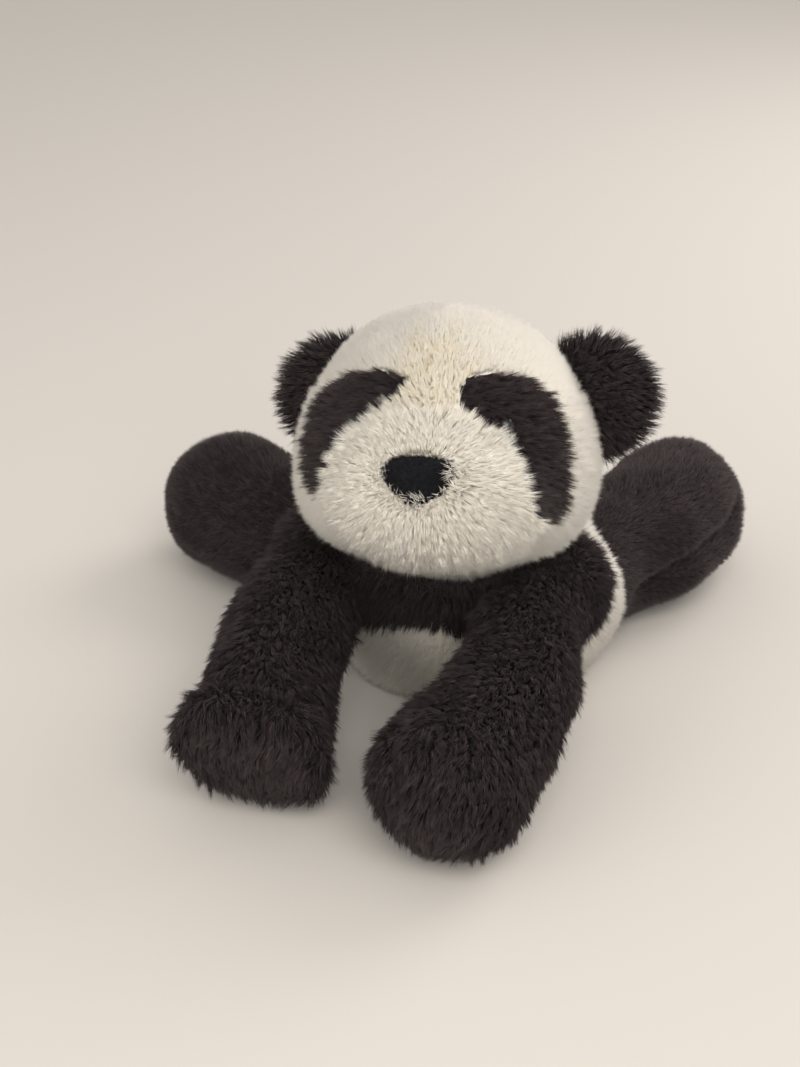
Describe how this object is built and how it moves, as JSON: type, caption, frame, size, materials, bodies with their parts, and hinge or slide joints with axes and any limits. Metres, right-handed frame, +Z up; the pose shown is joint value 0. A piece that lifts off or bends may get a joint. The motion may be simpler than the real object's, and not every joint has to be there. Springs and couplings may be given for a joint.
{
  "type": "plush panda",
  "caption": "Floppy plush panda cub lying on its belly, with a soft turning and nodding head, flapping ears, and arms and legs that swing and lift.",
  "frame": {"origin": "on the supporting surface, under the torso, just in front of its middle", "axes": "+Z up, the toy faces -Y, its own left side is +X"},
  "size_m": [0.274, 0.2678, 0.1691],
  "materials": {
    "dark_plush": "deep brushed pile",
    "white_plush": "deep brushed pile",
    "muzzle_plush": "longer soft pile",
    "fibre_fill": "loose fibre",
    "pouch_cloth": "plain woven",
    "seam_thread": "stitched",
    "nose_velvet": "short velvet",
    "eye_bead": "gloss",
    "washer_plastic": "matt"
  },
  "bodies": {
    "torso": {"belly_panel": "white_plush", "flank_panel_left": "white_plush", "flank_panel_right": "white_plush", "seat_panel": "white_plush", "chest_yoke": "dark_plush", "neck_tube": "dark_plush", "torso_stuffing": "fibre_fill", "pellet_pouch": "pouch_cloth"},
    "neck_joint": {"neck_seam": "seam_thread"},
    "head": {"forehead_panel": "white_plush", "head_back_panel": "white_plush", "cheek_panel_left": "white_plush", "cheek_panel_right": "white_plush", "chin_panel": "white_plush", "muzzle_panel": "muzzle_plush", "eye_patch_left": "dark_plush", "eye_patch_right": "dark_plush", "nose_pad": "nose_velvet", "eye_left": "eye_bead", "eye_right": "eye_bead", "eye_washer_left": "washer_plastic", "eye_washer_right": "washer_plastic", "head_stuffing": "fibre_fill"},
    "ear_left": {"ear_front_left": "dark_plush", "ear_back_left": "dark_plush"},
    "ear_right": {"ear_front_right": "dark_plush", "ear_back_right": "dark_plush"},
    "shoulder_joint_left": {"shoulder_seam_left": "seam_thread"},
    "arm_left": {"arm_outer_left": "dark_plush", "arm_inner_left": "dark_plush", "paw_sole_left": "dark_plush", "arm_stuffing_left": "fibre_fill"},
    "shoulder_joint_right": {"shoulder_seam_right": "seam_thread"},
    "arm_right": {"arm_outer_right": "dark_plush", "arm_inner_right": "dark_plush", "paw_sole_right": "dark_plush", "arm_stuffing_right": "fibre_fill"},
    "hip_joint_left": {"hip_seam_left": "seam_thread"},
    "leg_left": {"leg_top_left": "dark_plush", "leg_under_left": "dark_plush", "foot_sole_left": "dark_plush", "leg_stuffing_left": "fibre_fill"},
    "hip_joint_right": {"hip_seam_right": "seam_thread"},
    "leg_right": {"leg_top_right": "dark_plush", "leg_under_right": "dark_plush", "foot_sole_right": "dark_plush", "leg_stuffing_right": "fibre_fill"}
  },
  "joints": [
    {"name": "neck_turn", "type": "hinge", "parent": "torso", "child": "neck_joint", "pos_m": [-0.0025, -0.03, 0.087], "axis": [-0.0483, -0.2574, 0.9651], "range_deg": [-25, 25]},
    {"name": "neck_nod", "type": "hinge", "parent": "neck_joint", "child": "head", "pos_m": [-0.0025, -0.03, 0.087], "axis": [0.9802, -0.1918, 0.0498], "range_deg": [-8, 8]},
    {"name": "ear_flap_left", "type": "hinge", "parent": "head", "child": "ear_left", "pos_m": [0.0492, -0.02336, 0.1304], "axis": [-0.4762, 0.3667, 0.7992], "range_deg": [-15, 15]},
    {"name": "ear_flap_right", "type": "hinge", "parent": "head", "child": "ear_right", "pos_m": [-0.04593, -0.006, 0.12178], "axis": [0.4987, 0.1759, 0.8487], "range_deg": [-15, 15]},
    {"name": "shoulder_swing_left", "type": "hinge", "parent": "torso", "child": "shoulder_joint_left", "pos_m": [0.039, -0.052, 0.054], "axis": [0, 0, 1], "range_deg": [-5, 45]},
    {"name": "shoulder_lift_left", "type": "hinge", "parent": "shoulder_joint_left", "child": "arm_left", "pos_m": [0.039, -0.052, 0.054], "axis": [-0.9142, 0.4053, 0], "range_deg": [-10, 8]},
    {"name": "shoulder_swing_right", "type": "hinge", "parent": "torso", "child": "shoulder_joint_right", "pos_m": [-0.053, -0.026, 0.0555], "axis": [0, 0, -1], "range_deg": [-5, 45]},
    {"name": "shoulder_lift_right", "type": "hinge", "parent": "shoulder_joint_right", "child": "arm_right", "pos_m": [-0.053, -0.026, 0.0555], "axis": [-0.9638, 0.2666, 0], "range_deg": [-10, 8]},
    {"name": "hip_swing_left", "type": "hinge", "parent": "torso", "child": "hip_joint_left", "pos_m": [0.064, -0.002, 0.031], "axis": [0, 0, -1], "range_deg": [-8, 42]},
    {"name": "hip_lift_left", "type": "hinge", "parent": "hip_joint_left", "child": "leg_left", "pos_m": [0.064, -0.002, 0.031], "axis": [0.8064, -0.5914, 0], "range_deg": [-8, 16]},
    {"name": "hip_swing_right", "type": "hinge", "parent": "torso", "child": "hip_joint_right", "pos_m": [-0.048, 0.016, 0.03], "axis": [0, 0, 1], "range_deg": [-8, 42]},
    {"name": "hip_lift_right", "type": "hinge", "parent": "hip_joint_right", "child": "leg_right", "pos_m": [-0.048, 0.016, 0.03], "axis": [0.6429, 0.766, 0], "range_deg": [-8, 16]}
  ]
}
